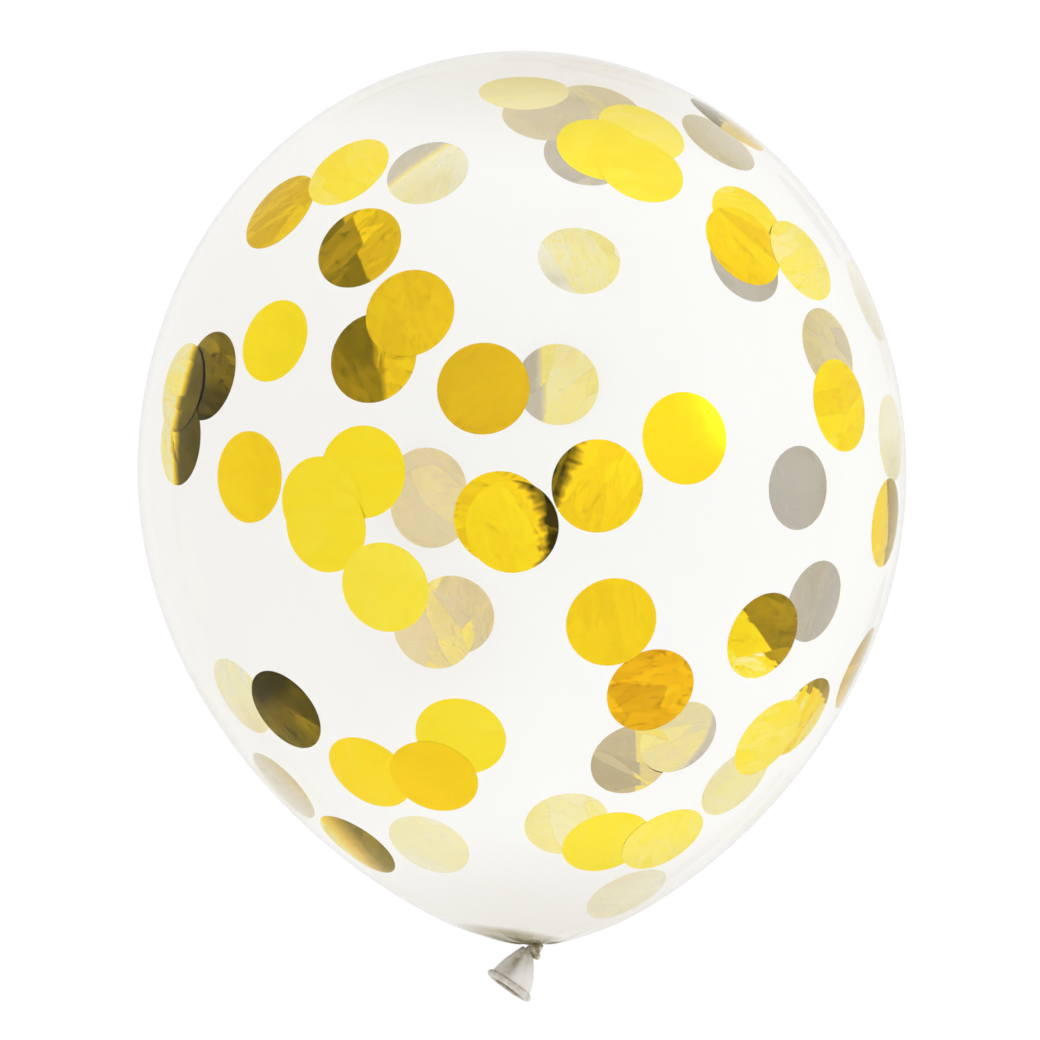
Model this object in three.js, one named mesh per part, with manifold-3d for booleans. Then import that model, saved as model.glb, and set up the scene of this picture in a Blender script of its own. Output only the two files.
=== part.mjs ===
// A clear round latex balloon, filled with air, tied at the neck and lying on its side.
// Millimetres, +Z up. The long axis runs along Y: the crown points to +Y and the tied neck to -Y.
// The origin is the middle of the small flat spot that the balloon rests on.
// The skin is sealed, so the inflated body is one solid with the neck, the knot and the open tail.
import * as THREE from "three";
import { mergeVertices } from "three/addons/utils/BufferGeometryUtils.js";
import Module from "manifold-3d";

// Inflated body
const DIAMETER = 280;
const CROWN_HEIGHT = 153; // widest ring to the crown
const TAPER_LENGTH = 175; // widest ring to where the taper would close
const TAPER_POWER = 1.375; // 1 would be an ellipse, and more is slimmer
const GATHER_START = 163; // from here on the tie draws the taper back
const GATHER = 0.018; // drawn back per millimetre, squared
const NECK_SHIFT = 4.4; // the neck stands this far to +X of the long axis
const FLAT_DEPTH = 1.2; // how far the resting spot is pressed in

// Neck, and the pleats that the tie gathers around it
const NECK_RADIUS = 2.5;
const NECK_LENGTH = 2.4; // hidden in the knot
const PLEAT_COUNT = 10;
const PLEAT_DEPTH = 0.7;
const PLEAT_REACH = 24; // radius at which the pleats run out

// Overhand knot: a core and two crossing turns of the neck
const KNOT_DROP = 2.2; // knot centre below the end of the taper
const CORE_RADIUS = 2.5;
const TURN_RADIUS = 2.1; // of the centre line
const TURN_THICKNESS = 2.4;
const COLLAR_TILT = 14; // degrees
const CROSS_TILT = -62; // degrees

// Tail: an oval funnel with a rolled lip, leaning to -X
const TAIL_TOP = 1.5; // from the knot centre to the root of the tail
const TAIL_LENGTH = 17.4; // from the knot centre to the end of the lip
const TAIL_ROOT_RADIUS = 2.2;
const TAIL_SIDE = 2.3; // the root stands this far off the middle of the tail
const TAIL_LEAN = 35; // degrees
const TAIL_WALL = 0.8;
const MOUTH_WIDTH = 18.8; // over the lip
const MOUTH_HEIGHT = 11.4; // over the lip
const MOUTH_TURN = 12; // degrees that the mouth looks up
const MOUTH_BOTTOM = 5; // the hollow of the mouth ends this far from the knot centre
const LIP_THICKNESS = 2.6;
const FOLD_ANGLES = [125, -55]; // degrees round the tail, from +X towards +Z
const FOLD_SPREAD = 16; // degrees
const FOLD_DEPTH = 0.26; // share of the radius

// Facets
const AROUND_BODY = 60;
const CROWN_RINGS = 15;
const TAPER_RINGS = 20;
const AROUND_TAIL = 28;
const TAIL_RINGS = 8;
const LIP_STEPS = 7;
const AROUND_TURN = 20;
const AROUND_STRAND = 8;

const RADIUS = DIAMETER / 2;
const AXIS_HEIGHT = RADIUS - FLAT_DEPTH;
const QUARTER = Math.PI / 2;
const { clamp, degToRad, inverseLerp, lerp } = THREE.MathUtils;

const wasm = await Module();
wasm.setup();

// A closed geometry as a solid for joining and cutting.
function solid(geometry) {
  const bare = geometry.clone();
  bare.deleteAttribute("normal");
  bare.deleteAttribute("uv");
  const merged = mergeVertices(bare);
  return new wasm.Manifold(
    new wasm.Mesh({
      numProp: 3,
      vertProperties: new Float32Array(merged.attributes.position.array),
      triVerts: new Uint32Array(merged.index.array),
    }),
  );
}

function geometryOf(body) {
  const mesh = body.getMesh();
  return new THREE.BufferGeometry()
    .setAttribute("position", new THREE.BufferAttribute(mesh.vertProperties, 3))
    .setIndex(new THREE.BufferAttribute(mesh.triVerts, 1));
}

// Moves each vertex of a geometry in place by a function of its position.
function reshape(geometry, move) {
  const place = geometry.attributes.position;
  const point = new THREE.Vector3();
  for (let i = 0; i < place.count; i++) {
    point.fromBufferAttribute(place, i);
    move(point);
    place.setXYZ(i, point.x, point.y, point.z);
  }
  return geometry;
}

// One point of the half outline, at an angle below the widest ring.
function taperPoint(angle) {
  const reach = TAPER_LENGTH * Math.sin(angle);
  const drawn = GATHER * Math.max(0, reach - GATHER_START) ** 2;
  return new THREE.Vector2(RADIUS * Math.cos(angle) ** TAPER_POWER, drawn - reach);
}

const NECK_ANGLE = Math.acos((NECK_RADIUS / RADIUS) ** (1 / TAPER_POWER));
const NECK_Y = taperPoint(NECK_ANGLE).y;

// Half outline of the body, from the end of the neck up to the crown, which is half an ellipse.
function bodyOutline() {
  const outline = [
    new THREE.Vector2(0, NECK_Y - NECK_LENGTH),
    new THREE.Vector2(NECK_RADIUS, NECK_Y - NECK_LENGTH),
  ];
  for (let i = TAPER_RINGS; i > 0; i--) {
    outline.push(taperPoint((NECK_ANGLE * i) / TAPER_RINGS));
  }
  for (let i = 0; i < CROWN_RINGS; i++) {
    const angle = (QUARTER * i) / CROWN_RINGS;
    outline.push(new THREE.Vector2(RADIUS * Math.cos(angle), CROWN_HEIGHT * Math.sin(angle)));
  }
  outline.push(new THREE.Vector2(0, CROWN_HEIGHT));
  return outline;
}

// How far a pleat stands out at a radius: nothing at the neck, 1 at a third of the reach, and fading out.
function pleatAt(radius) {
  const reach = clamp(inverseLerp(NECK_RADIUS, PLEAT_REACH, radius), 0, 1);
  return (27 / 4) * reach * (1 - reach) ** 2;
}

// The turned body gets its pleats, and its neck wanders off the long axis along the taper.
function inflatedBody() {
  const body = new THREE.LatheGeometry(bodyOutline(), AROUND_BODY);
  return reshape(body, (p) => {
    const along = clamp(p.y / NECK_Y, 0, 1);
    if (along > 0) {
      const ridge = (1 + Math.cos(PLEAT_COUNT * Math.atan2(p.z, p.x))) / 2;
      p.y -= PLEAT_DEPTH * ridge * pleatAt(Math.hypot(p.x, p.z));
    }
    p.x += NECK_SHIFT * along ** 2;
  });
}

// One turn of the neck around the knot, as a ring about Y that leans over by a tilt.
function knotTurn(tilt, lift) {
  return solid(
    new THREE.TorusGeometry(TURN_RADIUS, TURN_THICKNESS / 2, AROUND_STRAND, AROUND_TURN)
      .rotateX(QUARTER)
      .rotateZ(degToRad(tilt))
      .translate(0, lift, 0),
  );
}

function knot() {
  const core = solid(new THREE.SphereGeometry(CORE_RADIUS, 2 * AROUND_STRAND, AROUND_STRAND));
  const collar = knotTurn(COLLAR_TILT, TURN_THICKNESS / 4);
  const cross = knotTurn(CROSS_TILT, -TURN_THICKNESS / 4);
  return core.add(collar).add(cross);
}

// Half outline of the tail, from its root at the top: down the outside, round the lip and back up inside.
function tailOutline() {
  const lip = LIP_THICKNESS / 2;
  const lipRadius = MOUTH_WIDTH / 2 - lip;
  const lipY = lip - TAIL_LENGTH;
  const wallRadius = (y) => {
    const flare = Math.sin(QUARTER * inverseLerp(-TAIL_TOP, lipY, y));
    return lerp(TAIL_ROOT_RADIUS, lipRadius, flare);
  };
  const outline = [new THREE.Vector2(0, -TAIL_TOP)];
  for (let i = 0; i < TAIL_RINGS; i++) {
    const y = lerp(-TAIL_TOP, lipY, i / TAIL_RINGS);
    outline.push(new THREE.Vector2(wallRadius(y), y));
  }
  for (let i = 0; i <= LIP_STEPS; i++) {
    const angle = QUARTER * (1 - (3 * i) / LIP_STEPS);
    outline.push(new THREE.Vector2(lipRadius + lip * Math.cos(angle), lipY + lip * Math.sin(angle)));
  }
  for (let i = TAIL_RINGS - 1; i > 0; i--) {
    const y = lerp(-MOUTH_BOTTOM, lipY, i / TAIL_RINGS);
    outline.push(new THREE.Vector2(wallRadius(y) - TAIL_WALL, y));
  }
  outline.push(new THREE.Vector2(0, -MOUTH_BOTTOM));
  return outline.reverse();
}

// How deep the folds are at an angle round the tail: 1 in the bottom of a fold.
function foldAt(angle) {
  const dips = FOLD_ANGLES.map((fold) => {
    const off = 1 - Math.cos(angle - degToRad(fold));
    return Math.exp(-off / degToRad(FOLD_SPREAD) ** 2);
  });
  return Math.max(...dips);
}

// The round funnel gets its folds and its oval mouth, and is then turned to lean from the knot.
function tail() {
  const oval = MOUTH_HEIGHT / MOUTH_WIDTH;
  const funnel = reshape(new THREE.LatheGeometry(tailOutline(), AROUND_TAIL), (p) => {
    const along = clamp(-p.y / TAIL_LENGTH, 0, 1);
    const fold = 1 - FOLD_DEPTH * foldAt(Math.atan2(p.z, p.x)) * Math.sin(Math.PI * along);
    p.x = p.x * fold - TAIL_SIDE * (1 - along) ** 2;
    p.z *= fold * lerp(1, oval, along);
  });
  return solid(funnel.rotateX(degToRad(-MOUTH_TURN)).rotateZ(degToRad(-TAIL_LEAN)));
}

// What the floor takes off the underside.
function floorBlock() {
  const side = 2 * DIAMETER;
  return solid(new THREE.BoxGeometry(side, side, side).translate(0, 0, -side / 2));
}

function balloonSolid() {
  const tied = knot().add(tail()).translate(NECK_SHIFT, NECK_Y - KNOT_DROP, 0);
  const lying = solid(inflatedBody()).add(tied).translate(0, 0, AXIS_HEIGHT);
  return lying.subtract(floorBlock());
}

const clearLatex = new THREE.MeshStandardMaterial({
  color: 0xf4f3ee,
  roughness: 0.12,
  metalness: 0,
  transparent: true,
  opacity: 0.35,
});

const skin = new THREE.Mesh(geometryOf(balloonSolid()), clearLatex);
skin.name = "balloon_skin";

const balloon = new THREE.Group();
balloon.name = "tied_balloon";
balloon.add(skin);

export default balloon;
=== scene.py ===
"""A clear latex balloon with gold foil confetti inside, tied at the neck and lying on its side.

Metres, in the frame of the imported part: the origin is the resting spot, +Z is up, and +Y runs from
the tied neck to the crown. The camera looks straight down, so the picture shows the neck below.
"""

import logging
import math
from dataclasses import dataclass
from enum import Enum
from typing import Any

import bmesh
import bpy
from mathutils import Matrix, Vector
from mathutils.bvhtree import BVHTree


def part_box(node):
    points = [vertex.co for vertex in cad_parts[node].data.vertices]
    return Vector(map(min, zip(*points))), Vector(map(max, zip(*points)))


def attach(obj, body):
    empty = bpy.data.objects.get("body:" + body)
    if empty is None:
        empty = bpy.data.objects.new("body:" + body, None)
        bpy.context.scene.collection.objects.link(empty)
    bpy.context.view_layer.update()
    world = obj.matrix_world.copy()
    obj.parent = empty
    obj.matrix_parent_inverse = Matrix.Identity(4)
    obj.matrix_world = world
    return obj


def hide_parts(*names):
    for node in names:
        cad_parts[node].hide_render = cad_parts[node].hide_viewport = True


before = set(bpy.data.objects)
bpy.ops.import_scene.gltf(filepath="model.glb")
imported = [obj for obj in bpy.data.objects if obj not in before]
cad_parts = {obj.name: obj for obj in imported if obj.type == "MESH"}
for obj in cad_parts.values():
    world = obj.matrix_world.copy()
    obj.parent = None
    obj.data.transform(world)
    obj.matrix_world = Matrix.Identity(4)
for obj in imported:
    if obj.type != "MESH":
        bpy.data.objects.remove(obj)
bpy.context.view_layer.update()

MM = 0.001
SKIN_NODE = "balloon_skin"
BODY = "root"
IMAGE_SIDE = 1040
log = logging.getLogger("balloon")


class Wiring:
    """Adds nodes to one node tree and joins them up."""

    def __init__(self, tree: bpy.types.NodeTree) -> None:
        """Keeps the tree that the nodes go into."""
        self.tree = tree

    def feed(self, socket: bpy.types.NodeSocket, value: Any) -> None:
        """Links a socket to another one, or sets its value.

        Args:
            socket: The input to fill.
            value: A node, whose first output is used, an output socket, or a plain value.
        """
        if isinstance(value, bpy.types.Node):
            value = value.outputs[0]
        if isinstance(value, bpy.types.NodeSocket):
            self.tree.links.new(value, socket)
        else:
            socket.default_value = value

    def add(self, kind: str, inputs: dict[str, Any] | None = None, **settings: Any) -> bpy.types.Node:
        """Adds a node.

        Args:
            kind: Blender's name for the type of node.
            inputs: What goes into its sockets, by their names.
            **settings: The node's own properties.

        Returns:
            The new node.
        """
        node = self.tree.nodes.new(kind)
        for name, value in settings.items():
            setattr(node, name, value)
        for name, value in (inputs or {}).items():
            self.feed(node.inputs[name], value)
        return node

    def math(self, operation: str, *values: Any) -> bpy.types.NodeSocket:
        """Adds a math node.

        Args:
            operation: What the node works out.
            *values: Its numbers, each a value or a socket.

        Returns:
            The result's socket.
        """
        node = self.add("ShaderNodeMath", operation=operation)
        for socket, value in zip(node.inputs, values):
            self.feed(socket, value)
        return node.outputs["Value"]

    def vector(self, operation: str, first: Any, second: Any) -> bpy.types.NodeSocket:
        """Adds a vector math node.

        Args:
            operation: What the node works out.
            first: Its first vector.
            second: Its second vector, or the factor of a SCALE.

        Returns:
            The result's socket.
        """
        node = self.add("ShaderNodeVectorMath", operation=operation)
        self.feed(node.inputs[0], first)
        self.feed(node.inputs["Scale"] if operation == "SCALE" else node.inputs[1], second)
        return node.outputs["Value" if operation in ("DOT_PRODUCT", "DISTANCE") else "Vector"]

    def ramp(self, value: Any, ends: tuple[float, float], top: float = 1.0) -> bpy.types.NodeSocket:
        """Adds a straight rise from zero.

        Args:
            value: What the rise follows.
            ends: Where it starts and ends.
            top: What it rises to.

        Returns:
            The rise's socket.
        """
        low, high = ends
        inputs = {"Value": value, "From Min": low, "From Max": high, "To Max": top}
        return self.add("ShaderNodeMapRange", inputs).outputs["Result"]

    def blend(self, factor: Any, first: Any, second: Any) -> bpy.types.NodeSocket:
        """Adds a mix of two colours.

        Args:
            factor: How much of the second colour there is.
            first: The first colour.
            second: The second colour.

        Returns:
            The mixed colour's socket.
        """
        node = self.add("ShaderNodeMix", data_type="RGBA")
        sockets = {socket.identifier: socket for socket in node.inputs}
        self.feed(sockets["Factor_Float"], factor)
        self.feed(sockets["A_Color"], first)
        self.feed(sockets["B_Color"], second)
        return next(socket for socket in node.outputs if socket.identifier == "Result_Color")


class GeometryRule:
    """A Geometry Nodes tree with named inputs that makes one plain mesh."""

    def __init__(self, name: str) -> None:
        """Starts an empty tree.

        Args:
            name: The tree's name.
        """
        self.tree = bpy.data.node_groups.new(name, "GeometryNodeTree")
        for side in ("INPUT", "OUTPUT"):
            self.tree.interface.new_socket("Geometry", in_out=side, socket_type="NodeSocketGeometry")
        self.wire = Wiring(self.tree)
        self.source = self.tree.nodes.new("NodeGroupInput")
        self.sink = self.tree.nodes.new("NodeGroupOutput")
        self.values: dict[str, Any] = {}

    def input(self, name: str, value: Any, kind: str = "Float") -> bpy.types.NodeSocket:
        """Adds a named input.

        Args:
            name: The input's name.
            value: What the modifier sets it to.
            kind: The type of socket.

        Returns:
            The socket to link from.
        """
        socket = self.tree.interface.new_socket(name, in_out="INPUT", socket_type=f"NodeSocket{kind}")
        self.values[socket.identifier] = value
        return self.source.outputs[name]

    def put(self, geometry: Any, position: Any) -> bpy.types.Node:
        """Returns the step that puts a geometry's points at new places."""
        return self.wire.add("GeometryNodeSetPosition", {"Geometry": geometry, "Position": position})

    def store(
        self, geometry: Any, name: str, value: Any, kind: str = "FLOAT_VECTOR", domain: str = "POINT"
    ) -> bpy.types.Node:
        """Adds a step that gives a geometry an attribute.

        Args:
            geometry: What carries the attribute.
            name: The attribute's name.
            value: Its value.
            kind: Its type.
            domain: Whether points or faces carry it.

        Returns:
            The step's node.
        """
        inputs = {"Geometry": geometry, "Name": name, "Value": value}
        return self.wire.add("GeometryNodeStoreNamedAttribute", inputs, data_type=kind, domain=domain)

    def finish(self, geometry: Any, finish: Any, second: Any = None, where: Any = None) -> None:
        """Ends the tree in Realize Instances and Set Material.

        Args:
            geometry: What the tree has made.
            finish: The material's socket.
            second: The socket of a second material.
            where: Which faces get the second one.
        """
        real = self.wire.add("GeometryNodeRealizeInstances", {"Geometry": geometry})
        last = self.wire.add("GeometryNodeSetMaterial", {"Geometry": real, "Material": finish})
        if second is not None:
            last = self.wire.add(
                "GeometryNodeSetMaterial",
                {"Geometry": last, "Selection": where, "Material": second},
            )
        self.wire.feed(self.sink.inputs["Geometry"], last)

    def make(self, name: str, mesh: bpy.types.Mesh) -> bpy.types.Object:
        """Runs the tree on a mesh and keeps the result as a plain mesh.

        Args:
            name: The new object's name.
            mesh: What the tree starts from.

        Returns:
            The object, without the modifier.
        """
        thing = bpy.data.objects.new(name, mesh)
        bpy.context.scene.collection.objects.link(thing)
        modifier = thing.modifiers.new("rule", "NODES")
        modifier.node_group = self.tree
        for identifier, value in self.values.items():
            modifier[identifier] = value
        graph = bpy.context.evaluated_depsgraph_get()
        made = bpy.data.meshes.new_from_object(thing.evaluated_get(graph), depsgraph=graph)
        thing.modifiers.remove(modifier)
        thing.data = made
        made.name = name
        while made.materials[0] is None:
            made.materials.pop(index=0)
        return thing


class Finish:
    """What every finish shares: one Principled shader with its values set on its own sockets."""

    name: str

    def material(self) -> bpy.types.Material:
        """Returns the finish as a material, made once."""
        known = bpy.data.materials.get(self.name)
        if known:
            return known
        made = bpy.data.materials.new(self.name)
        made.use_nodes = True
        shader = made.node_tree.nodes["Principled BSDF"]
        self.dress(Wiring(made.node_tree), shader)
        return made

    def dress(self, wire: Wiring, shader: bpy.types.Node) -> None:
        """Sets the shader's values and patterns.

        Args:
            wire: Adds nodes to the material.
            shader: Its Principled shader.
        """
        raise NotImplementedError


@dataclass(frozen=True)
class ClearLatex(Finish):
    """The stretched skin: clear and glossy, denser where it is less stretched, greyed by painted shade at
    its outline, tan at the tie.

    It is greyer to the crown and the taper, partly as less stretched latex and partly as painted shade;
    the grey at the rim, by facing, and to one side is painted shade.
    """

    name: str = "stretched_latex"
    clear: tuple[float, float, float, float] = (0.980, 0.980, 0.970, 1.0)
    dense_and_shaded: tuple[float, float, float, float] = (0.89, 0.875, 0.845, 1.0)
    tan: tuple[float, float, float, float] = (0.43, 0.39, 0.26, 1.0)
    # The crown and taper grey is partly denser latex and partly painted shade; the rim grey, by facing,
    # and the side grey are painted shade.
    crown: tuple[float, float] = (112 * MM, 150 * MM)
    taper: tuple[float, float] = (-128 * MM, -170 * MM)
    rim: tuple[float, float] = (0.35, 0.95)
    side: tuple[float, float] = (10 * MM, -110 * MM)
    side_shade_gain: float = 0.42
    gather: tuple[float, float] = (-168.6 * MM, -170.3 * MM)
    gather_lean: float = 0.137
    tie: tuple[float, float] = (9 * MM, 3 * MM)
    tie_place: tuple[float, float, float] = (0.0, 0.0, 0.0)
    facing_blend: float = 0.3
    refraction: float = 1.10

    def dress(self, wire: Wiring, shader: bpy.types.Node) -> None:
        """Sets plain see-through values and tints the skin: denser where less stretched, painted shade at
        the outline and one side, tan at the tie.
        """
        place = wire.add("ShaderNodeTexCoord").outputs["Object"]
        apart = wire.add("ShaderNodeSeparateXYZ", {"Vector": place})
        x = apart.outputs["X"]
        y = apart.outputs["Y"]
        facing = wire.add("ShaderNodeLayerWeight", {"Blend": self.facing_blend}).outputs["Facing"]
        # Painted shade: the rim and side ramps grey the outline and one side; the crown and taper ramps
        # are partly denser latex and partly painted shade.
        slack_and_painted_shade = wire.math("MAXIMUM", wire.ramp(y, self.crown), wire.ramp(y, self.taper))
        slack_and_painted_shade = wire.math("MAXIMUM", slack_and_painted_shade, wire.ramp(facing, self.rim))
        slack_and_painted_shade = wire.math("MAXIMUM", slack_and_painted_shade, wire.ramp(x, self.side, self.side_shade_gain))
        lean = wire.vector("DOT_PRODUCT", place, (self.gather_lean, 1.0, 0.0))
        tint = wire.blend(slack_and_painted_shade, self.clear, self.dense_and_shaded)
        from_tie = wire.vector("DISTANCE", place, self.tie_place)
        gathered = wire.math("MAXIMUM", wire.ramp(lean, self.gather), wire.ramp(from_tie, self.tie))
        tint = wire.blend(gathered, tint, self.tan)
        values = {
            "Base Color": tint,
            "Roughness": 0.0,
            "IOR": self.refraction,
            "Transmission Weight": 1.0,
        }
        for socket, value in values.items():
            wire.feed(shader.inputs[socket], value)


@dataclass(frozen=True)
class GatheredLatex(Finish):
    """The slack latex of the knot and the tail: milky, tan at the knot and the rolled lip, with painted
    shade in its folds, its grooves and inside its mouth.
    """

    name: str = "gathered_latex"
    pale: tuple[float, float, float, float] = (0.93, 0.90, 0.85, 1.0)
    tan: tuple[float, float, float, float] = (0.33, 0.27, 0.14, 1.0)
    mottle: float = 1 / (1.8 * MM)
    mottle_gain: float = 3.2
    roughness: float = 0.3
    clearness: float = 0.2
    grain: float = 1 / (0.5 * MM)
    grain_height: float = 0.03 * MM

    def dress(self, wire: Wiring, shader: bpy.types.Node) -> None:
        """Mottles the tan and the painted fold shade, and gives the surface a fine grain."""
        place = wire.add("ShaderNodeTexCoord").outputs["Object"]
        # The 'fold' value carries the thick latex's tan and the painted shade in folds and grooves.
        fold = wire.add("ShaderNodeAttribute", attribute_name="fold").outputs["Fac"]
        patches = wire.add("ShaderNodeTexNoise", {"Vector": place, "Scale": self.mottle, "Detail": 3.0})
        level = 1 - self.mottle_gain / 2
        uneven = wire.math("MULTIPLY_ADD", patches.outputs["Fac"], self.mottle_gain, level)
        shade = wire.math("MULTIPLY", fold, uneven)
        wire.feed(shader.inputs["Base Color"], wire.blend(shade, self.pale, self.tan))
        grain = wire.add("ShaderNodeTexNoise", {"Vector": place, "Scale": self.grain})
        bump = wire.add("ShaderNodeBump", {"Height": grain, "Distance": self.grain_height})
        wire.feed(shader.inputs["Normal"], bump)
        wire.feed(shader.inputs["Roughness"], self.roughness)
        wire.feed(shader.inputs["Transmission Weight"], self.clearness)


@dataclass(frozen=True)
class Foil(Finish):
    """Thin metallised film, its reflections painted into the colour: each disc's own tone, painted
    reflections in facets and streaks, painted shade on fine crease lines and a painted shade side.
    """

    name: str
    tone_name: str
    tones: tuple[tuple[float, tuple[float, float, float]], ...]
    roughness: tuple[float, float]
    facet: float = 8 * MM
    facet_reflection_gain: float = 0.40
    facet_tilt: float = 0.22
    facet_bend: float = 0.5
    facet_border: float = 0.25
    least_tilt: float = 0.02
    streak: float = 4 * MM
    streak_stretch: float = 0.35
    streak_reflection_gain: float = 0.35
    least_streak_reflection: float = 0.01
    crease_line_shade: tuple[float, float] = (0.020, 0.004)
    crease_line_shade_gain: float = 0.40
    teeth: float = 5.0
    teeth_stretch: float = 0.3
    teeth_gain: float = 1.1
    border: float = 0.02
    glint: tuple[float, float] = (0.04, 0.16)
    glint_gain: float = 0.45
    warm_tint: tuple[float, float, float] = (1.0, 0.72, 0.6)
    edge_tint: tuple[float, float, float, float] = (1.0, 1.0, 1.0, 1.0)

    def dress(self, wire: Wiring, shader: bpy.types.Node) -> None:
        """Paints reflections into the film's colour by each disc's tone, painted shade side, streaks,
        facets and crease lines, and tilts its facets.
        """

        def own(name: str) -> bpy.types.Node:
            """Returns a value that the discs carry."""
            return wire.add("ShaderNodeAttribute", attribute_name=name)

        flat = own("flat").outputs["Vector"]
        crease = own("crease").outputs["Fac"]
        number = own("disc").outputs["Fac"]
        apart = wire.add("ShaderNodeCombineXYZ", {"Z": number})
        stretch = wire.add("ShaderNodeMapping", {"Vector": flat, "Scale": (1.0, self.streak_stretch, 1.0)})
        spread = wire.vector("ADD", stretch, apart)
        streaks = wire.add(
            "ShaderNodeTexNoise",
            {"Vector": spread, "Scale": 1 / self.streak, "Detail": 2.0, "Distortion": 0.7},
        )
        uneven = wire.math("SUBTRACT", streaks.outputs["Fac"], 0.5)
        bend = wire.vector("SCALE", streaks.outputs["Color"], self.facet_bend * self.streak)
        bent = wire.vector("ADD", spread, bend)
        facets = wire.add("ShaderNodeTexVoronoi", {"Vector": bent, "Scale": 1 / self.facet})
        draw = wire.vector("SUBTRACT", facets.outputs["Color"], (0.5, 0.5, 0.5))
        step = wire.add("ShaderNodeSeparateXYZ", {"Vector": draw}).outputs["X"]

        # Painted reflections: the disc's tone, brighter and darker streaks and facets, and painted shade
        # on thin crease lines.
        tone = own(self.tone_name).outputs["Fac"]
        streak_reflection = wire.math("MULTIPLY_ADD", crease, self.streak_reflection_gain, self.least_streak_reflection)
        toned = wire.math("MULTIPLY_ADD", uneven, streak_reflection, tone)
        toned = wire.math("MULTIPLY_ADD", step, wire.math("MULTIPLY", crease, self.facet_reflection_gain), toned)
        # Painted shade along thin crease lines.
        crease_shade_lines = wire.ramp(wire.math("ABSOLUTE", uneven), self.crease_line_shade)
        crease_shade_depth = wire.math("MULTIPLY", crease, -self.crease_line_shade_gain)
        toned = wire.math("MULTIPLY_ADD", crease_shade_lines, crease_shade_depth, toned)

        # Painted shade: the disc's dark side, with a ragged border jagged by the facets, takes the tone to
        # its dusk.
        side = wire.add("ShaderNodeSeparateXYZ", {"Vector": own("side").outputs["Vector"]})
        across = wire.math("MULTIPLY", side.outputs["Z"], self.teeth_stretch)
        rows = wire.add("ShaderNodeCombineXYZ", {"X": across, "Y": side.outputs["Y"], "Z": number})
        teeth = wire.add("ShaderNodeTexNoise", {"Vector": rows, "Scale": self.teeth, "Detail": 1.0})
        ragged = wire.math("SUBTRACT", teeth.outputs["Fac"], 0.5)
        feather = own("feather").outputs["Fac"]
        teeth_gain = wire.math("MULTIPLY", feather, self.teeth_gain)
        edge = wire.math("MULTIPLY_ADD", ragged, teeth_gain, side.outputs["X"])
        edge = wire.math("MULTIPLY_ADD", step, self.facet_border, edge)
        reach = wire.math("ADD", own("soft").outputs["Fac"], self.border)
        shade = wire.ramp(edge, (wire.math("MULTIPLY", reach, -1.0), reach))
        drop = wire.math("SUBTRACT", own("dusk").outputs["Fac"], tone)
        toned = wire.math("MULTIPLY_ADD", shade, drop, toned)
        # Painted glints lighten streaks inside the painted shade of feathered discs.
        glints = wire.ramp(uneven, self.glint, self.glint_gain)
        toned = wire.math("MULTIPLY_ADD", glints, wire.math("MULTIPLY", shade, feather), toned)

        # The tone, with its painted reflections and shade, picks the colour off the finish's ramp.
        ramp = wire.add("ShaderNodeValToRGB", {"Fac": toned})
        stops = ramp.color_ramp.elements
        for place, _ in self.tones[1:-1]:
            stops.new(place)
        for stop, (place, colour) in zip(stops, self.tones):
            stop.position = place
            stop.color = (*colour, 1.0)
        warmed = wire.vector("MULTIPLY", ramp.outputs["Color"], self.warm_tint)
        colour = wire.blend(own("warm").outputs["Fac"], ramp.outputs["Color"], warmed)
        wire.feed(shader.inputs["Base Color"], colour)
        low, high = self.roughness
        rough = wire.add("ShaderNodeMapRange", {"Value": streaks, "To Min": low, "To Max": high})
        wire.feed(shader.inputs["Roughness"], rough)
        tilt = wire.math("MULTIPLY_ADD", crease, self.facet_tilt, self.least_tilt)
        height = wire.math("MULTIPLY", wire.vector("DOT_PRODUCT", draw, flat), tilt)
        bump = wire.add("ShaderNodeBump", {"Height": height, "Distance": 1.0})
        wire.feed(shader.inputs["Normal"], bump)
        wire.feed(shader.inputs["Metallic"], 1.0)
        wire.feed(shader.inputs["Specular Tint"], self.edge_tint)


# The gold face's lowest two stops are painted dark reflections and its top two a painted pale highlight;
# the stops between are the foil's gold.
GOLD_FACE = Foil(
    "foil_face",
    "face_tone",
    (
        (0.0, (0.030, 0.021, 0.003)),
        (0.3, (0.24, 0.165, 0.008)),
        (0.6, (0.66, 0.41, 0.014)),
        (0.8, (0.97, 0.66, 0.014)),
        (0.9, (1.0, 0.77, 0.018)),
        (0.93, (1.0, 0.84, 0.075)),
        (0.96, (1.0, 0.87, 0.30)),
        (1.0, (0.95, 0.89, 0.62)),
    ),
    (0.12, 0.26),
    edge_tint=(0.90, 0.85, 0.55, 1.0),
)
# Where a disc's back sits on this scale, from grey to pale yellow, is painted reflection brightness.
PALE_BACK = Foil(
    "foil_back",
    "back_tone",
    (
        (0.0, (0.55, 0.51, 0.445)),
        (0.25, (0.66, 0.61, 0.51)),
        (0.5, (0.80, 0.71, 0.50)),
        (0.75, (1.0, 0.89, 0.31)),
        (0.88, (0.98, 0.92, 0.58)),
        (1.0, (0.96, 0.93, 0.76)),
    ),
    (0.18, 0.32),
    facet=11 * MM,
    facet_reflection_gain=0.65,
    facet_tilt=0.12,
    crease_line_shade_gain=0.25,
    warm_tint=(1.0, 0.90, 0.62),
)


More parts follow.
